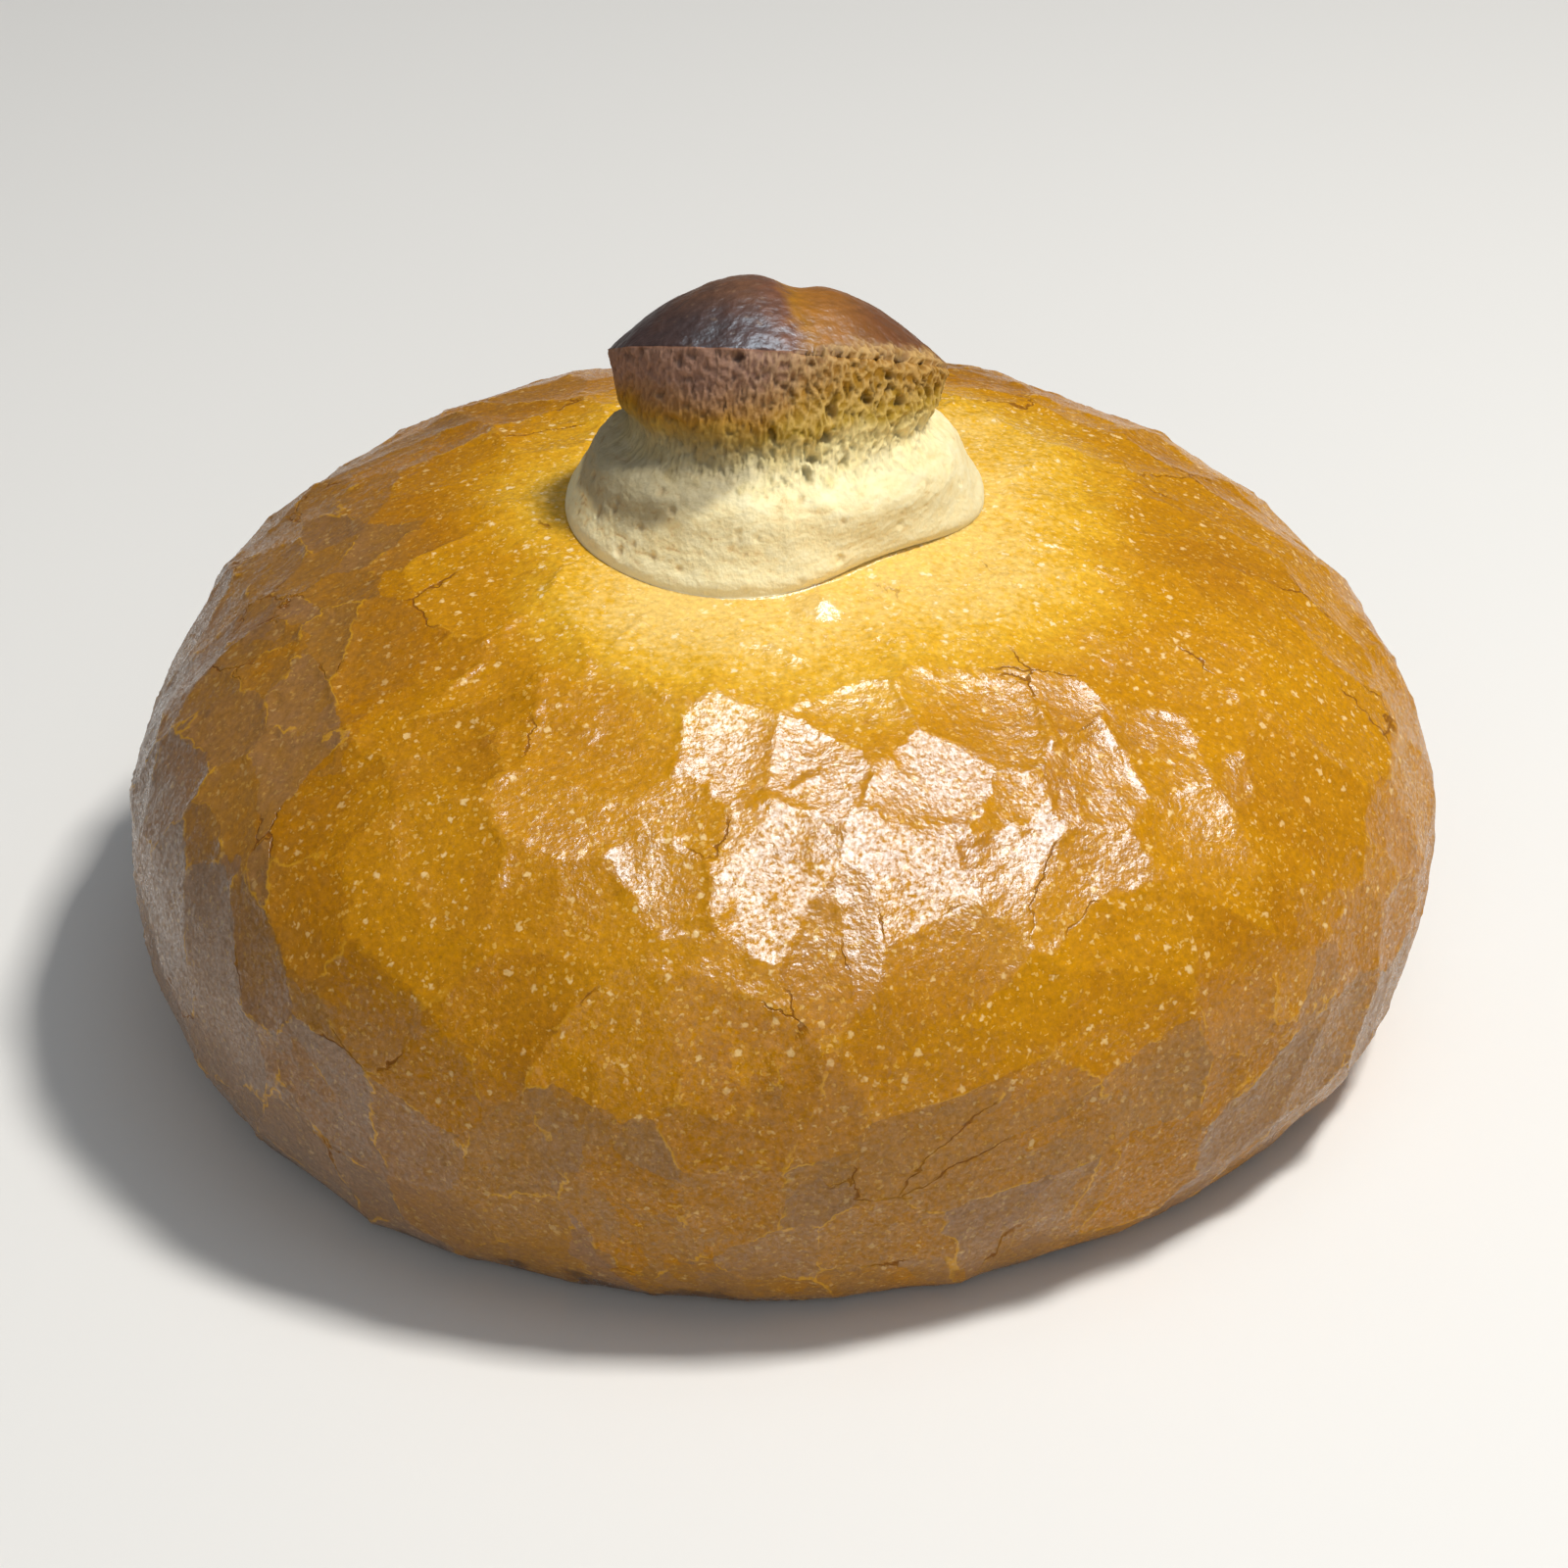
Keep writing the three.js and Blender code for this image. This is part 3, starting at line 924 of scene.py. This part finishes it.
def crust_finish():
    """The flaking skin of crown and sides: pale by the topknot, golden, and brown to the heel."""
    m = Finish("golden_crust")
    plates = m.effect(
        PLATES,
        Bed=m.stored("bed", "Vector"),
        Opened=m.stored("opened"),
        Chipped=m.stored("chipped"),
    )
    specks = m.effect(SPECKS, Dough=m.dough)
    grain = m.effect(GRAIN, Dough=m.dough)["Height"]

    # the baking changes evenly in the pale crust, and from plate to plate in the brown crust
    even = m.stored("bake")
    of_plate = m.plus(bake_level(m, plates["Middle"]), m.times(plates["Tone"], 0.26))
    bake = m.plus(
        even,
        m.times(m.less(of_plate, even), m.ramp(even, 0.3, 0.6, 0.05, 0.7)),
        m.times(m.swing(m.dough, 3.2), 0.16),
        m.times(m.swing(m.dough, 1.3, 1.0), m.ramp(even, 0.1, 0.4, 0.3, 0.0)),
    )
    roughness = m.plus(0.5, m.times(m.swing(m.dough, 12.0), 0.15))
    height = m.plus(grain, m.times(plates["Gaps"], -0.1))
    bump = m.surface(crust_colour(m, bake, plates, specks), roughness, height)

    flaked = m.times(m.ramp(even, 0.18, 0.4), m.ramp(m.stage, FOOT - 0.06, FOOT - 0.14))
    glossy = m.plus(
        0.6,
        m.times(m.swing(m.dough, 0.8, 3.0, 0.65), 3.6),
        m.times(m.swing(m.dough, 5.0), 0.8),
        m.times(plates["Tone"], flaked, 0.3),
    )
    weight = m.math("SUBTRACT", glossy, plates["Gaps"], clamp=True)
    m.glaze(bump, weight, m.scale_colour(plates["Lean"], m.times(flaked, 0.15)))
    m.fixed(Specular_IOR_Level=0.03, Coat_Roughness=0.22)
    return m.material


def collar_colour(m, x, fibres, dimples):
    """Stretched dough: cream, tan in its hollows, soonest at the left, palest at its lip, and
    darker to the right by painted shade.
    """
    ridges = m.plus(0.5, m.times(fibres, 1.4), m.times(m.swing(m.dough, 7.0, 3.0), 0.6))
    colour = m.colours(ridges, COLLAR_CREAMS)
    often = m.plus(m.noise(m.dough, 12.0)[0], m.ramp(x, -30.0, 20.0, 0.12, -0.12))
    hollow = m.math("MAXIMUM", dimples, m.ramp(fibres, -0.06, -0.2))
    colour = m.blend(m.times(hollow, m.ramp(often, 0.4, 0.62), 0.7), colour, TAN_HOLLOW)
    lip = m.times(m.ramp(m.stage, FOOT + 0.34, FOOT + 0.12), 0.8)
    colour = m.blend(lip, colour, PALE_LIP)
    # the right is darkened: painted shade that tones down the light of the key lamp there
    return m.scale_colour(colour, m.ramp(x, 8.0, 24.0, 1.0, 0.87))


def crumb_finish():
    """Collar and torn wall: pale stretched dough below, torn crumb that browns to the rim."""
    m = Finish("torn_crumb")
    x = m.parts(m.dough)[0]
    fibres = m.stored("fibres")
    grain = m.effect(GRAIN, Dough=m.dough, Depth=0.7)["Height"]
    crumb = m.effect(
        CRUMB,
        Dough=m.dough,
        Stage=m.stage,
        Pores=m.stored("pores"),
        Webs=m.stored("webs"),
    )
    dough_colour = collar_colour(m, x, fibres, m.stored("dimples"))
    fringe = m.plus(m.stage, m.times(m.swing(m.dough, 3.0), 0.5))
    colour = m.blend(m.ramp(fringe, WAIST - 0.14, WAIST + 0.02), dough_colour, crumb["Colour"])

    # painted shadow of the cap on the collar under its left side, which starts higher up the collar
    # to the right
    uneven = m.plus(m.stage, m.times(m.swing(m.dough, 7.0), 0.2), m.ramp(x, -32.0, 4.0, 0.0, -0.55))
    painted_cap_shadow = m.times(
        m.ramp(uneven, FOOT + 0.38, FOOT + 0.52),
        m.ramp(m.stage, WAIST + 0.45, WAIST + 0.1),
        m.ramp(x, 6.0, -12.0),
        0.72,
    )
    colour = m.blend(painted_cap_shadow, colour, PAINTED_CAP_SHADOW)
    skin_edge = m.times(m.near(m.stage, RIM, 0.05), m.less(1.0, m.stored("frayed")))
    colour = m.blend(m.times(skin_edge, 0.7), colour, SKIN_EDGE)
    height = m.plus(grain, m.times(m.swing(m.dough, 0.9, 3.0), 0.2))
    m.surface(colour, m.plus(0.75, m.times(fibres, 0.2)), height)
    m.fixed(Specular_IOR_Level=0.15)
    return m.material


def cap_finish():
    """The top of the knot, baked darkest: nearly burnt to the left of its crease."""
    m = Finish("dark_cap_crust")
    x, y, _ = m.parts(m.dough)
    frayed = m.stored("frayed")
    specks = m.effect(SPECKS, Dough=m.dough)
    grain = m.effect(GRAIN, Dough=m.dough, Depth=0.8)["Height"]
    crumb = m.effect(
        CRUMB,
        Dough=m.dough,
        Stage=RIM,
        Pores=m.stored("pores"),
        Webs=m.stored("webs"),
    )
    uneven = m.times(m.swing(m.dough, 8.0, 3.0), 9.0)
    from_crease = m.plus(x, m.times(y, CREASE_TURN), -CREASE_PLACE, uneven)
    colour = m.colours(m.ramp(from_crease, -24.0, 24.0), CAP_BROWNS)
    up_cap = m.plus(m.stage, m.times(m.swing(m.dough, 9.0), 0.5))
    paler = m.times(m.ramp(up_cap, RIM + 0.3, RIM + 0.9, 0.0, 0.7), m.ramp(from_crease, -2.0, -8.0))
    colour = m.blend(paler, colour, CAP_CROWN)
    colour = m.scale_colour(colour, m.plus(1.0, m.times(m.swing(m.dough, 2.0, 3.0), 0.9)))
    colour = m.blend(m.times(specks["Dots"], 0.14), colour, CAP_DOT)
    colour = m.blend(frayed, colour, crumb["Colour"])
    edge = m.times(m.ramp(m.stage, RIM + 0.04, RIM), m.less(1.0, frayed), 0.6)
    colour = m.blend(edge, colour, SKIN_EDGE)
    roughness = m.plus(0.43, m.times(m.swing(m.dough, 6.0), 0.14), m.times(frayed, 0.4))
    leathery = m.times(m.swing(m.drift(m.dough, 3.0, 2.0), 1.7, 2.0), 0.27)
    m.surface(colour, roughness, m.plus(grain, leathery))
    m.fixed(Specular_IOR_Level=0.36)
    return m.material


def sole_finish():
    """The flat underside: brown, matt, and dusted with the flour of the hearth."""
    m = Finish("hearth_sole")
    grain = m.effect(GRAIN, Dough=m.dough, Depth=1.5)["Height"]
    brown = m.colours(m.noise(m.dough, 26.0, 4.0)[0], SOLE_BROWNS)
    flour = m.times(m.ramp(m.noise(m.dough, 12.0, 6.0, 0.7)[0], 0.48, 0.66), 0.6)
    colour = m.blend(flour, brown, FLOUR)
    burnt = m.times(pit_field(m, m.dough, 9.0, 0.4, 3.2), 0.5)
    colour = m.blend(burnt, colour, BURNT_SOLE)
    height = m.plus(grain, m.times(m.swing(m.dough, 4.0, 3.0), 0.3))
    m.surface(colour, m.plus(0.74, m.times(flour, 0.2)), height)
    return m.material


for finish in (sole_finish(), crust_finish(), crumb_finish(), cap_finish()):
    loaf.data.materials.append(finish)
add_relief(loaf)

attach(loaf, "root")
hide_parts("bread_loaf")


# ---------------------------------------------------------------- floor, light and camera

# Lengths from here on are in metres
FLOOR_REACH = 4.0
FLOOR_COLOUR = (0.80, 0.79, 0.77, 1.0)
LAMP_AIM = (0.0, 0.0, 0.06)
STUDIO_COLOUR = (0.95, 0.97, 1.0, 1.0)
STUDIO_STRENGTH = 0.2
MIRRORED_LESS = 0.14  # by which the studio is darker where the loaf mirrors it
CAMERA_ELEVATION = 31.0
CAMERA_DISTANCE = 0.8
CAMERA_LENS, CAMERA_SENSOR = 99.0, 36.0
CAMERA_SHIFT = (0.0041, -0.048)
AIM_LEFT = 0.0013
AIM_HEIGHT = 0.055


def pale_floor():
    mesh = bpy.data.meshes.new("floor")
    near, far = -FLOOR_REACH, FLOOR_REACH
    corners = ((near, near, 0), (far, near, 0), (far, far, 0), (near, far, 0))
    mesh.from_pydata(corners, [], [(0, 1, 2, 3)])
    floor = bpy.data.objects.new("floor", mesh)
    bpy.context.scene.collection.objects.link(floor)
    paper = bpy.data.materials.new("floor_paper")
    paper.use_nodes = True
    shader = paper.node_tree.nodes["Principled BSDF"]
    shader.inputs["Base Color"].default_value = FLOOR_COLOUR
    shader.inputs["Roughness"].default_value = 0.9
    mesh.materials.append(paper)


def softbox(name, towards, distance, size, power, colour, diffuse=True, gloss=True):
    """A square lamp, in a direction from the loaf's middle, that looks at it."""
    data = bpy.data.lights.new(name, "AREA")
    data.size = size
    data.energy = power
    data.color = colour
    lamp = bpy.data.objects.new(name, data)
    direction = Vector(towards).normalized()
    lamp.location = direction * distance + Vector(LAMP_AIM)
    lamp.rotation_euler = direction.to_track_quat("Z", "Y").to_euler()
    lamp.visible_diffuse = diffuse
    lamp.visible_glossy = gloss
    bpy.context.scene.collection.objects.link(lamp)


def light_studio():
    """A lamp for light and shadow, a panel for the gloss to mirror, and a faint fill in front."""
    softbox(
        "key", towards=(0.38, -0.06, 0.93), distance=1.3, size=0.2,
        power=16.5, colour=(1.0, 0.97, 0.92), gloss=False,
    )
    softbox(
        "overhead_sheen", towards=(0.22, -0.13, 1.0), distance=1.1, size=0.8,
        power=50.0, colour=(0.67, 0.86, 1.0), diffuse=False,
    )
    softbox(
        "front_fill", towards=(0.0, -1.0, 0.45), distance=1.6, size=1.2,
        power=4.3, colour=(1.0, 1.0, 1.0),
    )

    world = bpy.data.worlds.new("studio")
    world.use_nodes = True
    air = Graph(world.node_tree)
    background = world.node_tree.nodes["Background"]
    background.inputs["Color"].default_value = STUDIO_COLOUR
    mirrored = air.add("ShaderNodeLightPath").outputs["Is Glossy Ray"]
    strength = air.less(STUDIO_STRENGTH, air.times(mirrored, MIRRORED_LESS))
    air.feed(background.inputs["Strength"], strength)
    bpy.context.scene.world = world
    bpy.context.scene.view_settings.view_transform = "Standard"


def place_camera():
    data = bpy.data.cameras.new("camera")
    data.lens, data.sensor_width = CAMERA_LENS, CAMERA_SENSOR
    data.shift_x, data.shift_y = CAMERA_SHIFT
    camera = bpy.data.objects.new("camera", data)
    low, high = (Vector(corner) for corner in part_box("bread_loaf"))
    middle = (low + high) / 2
    aim = Vector((middle.x - AIM_LEFT, middle.y, AIM_HEIGHT))
    elevation = math.radians(CAMERA_ELEVATION)
    back = Vector((0.0, -math.cos(elevation), math.sin(elevation)))
    camera.location = aim + back * CAMERA_DISTANCE
    camera.rotation_euler = back.to_track_quat("Z", "Y").to_euler()
    bpy.context.scene.collection.objects.link(camera)
    bpy.context.scene.camera = camera


pale_floor()
light_studio()
place_camera()
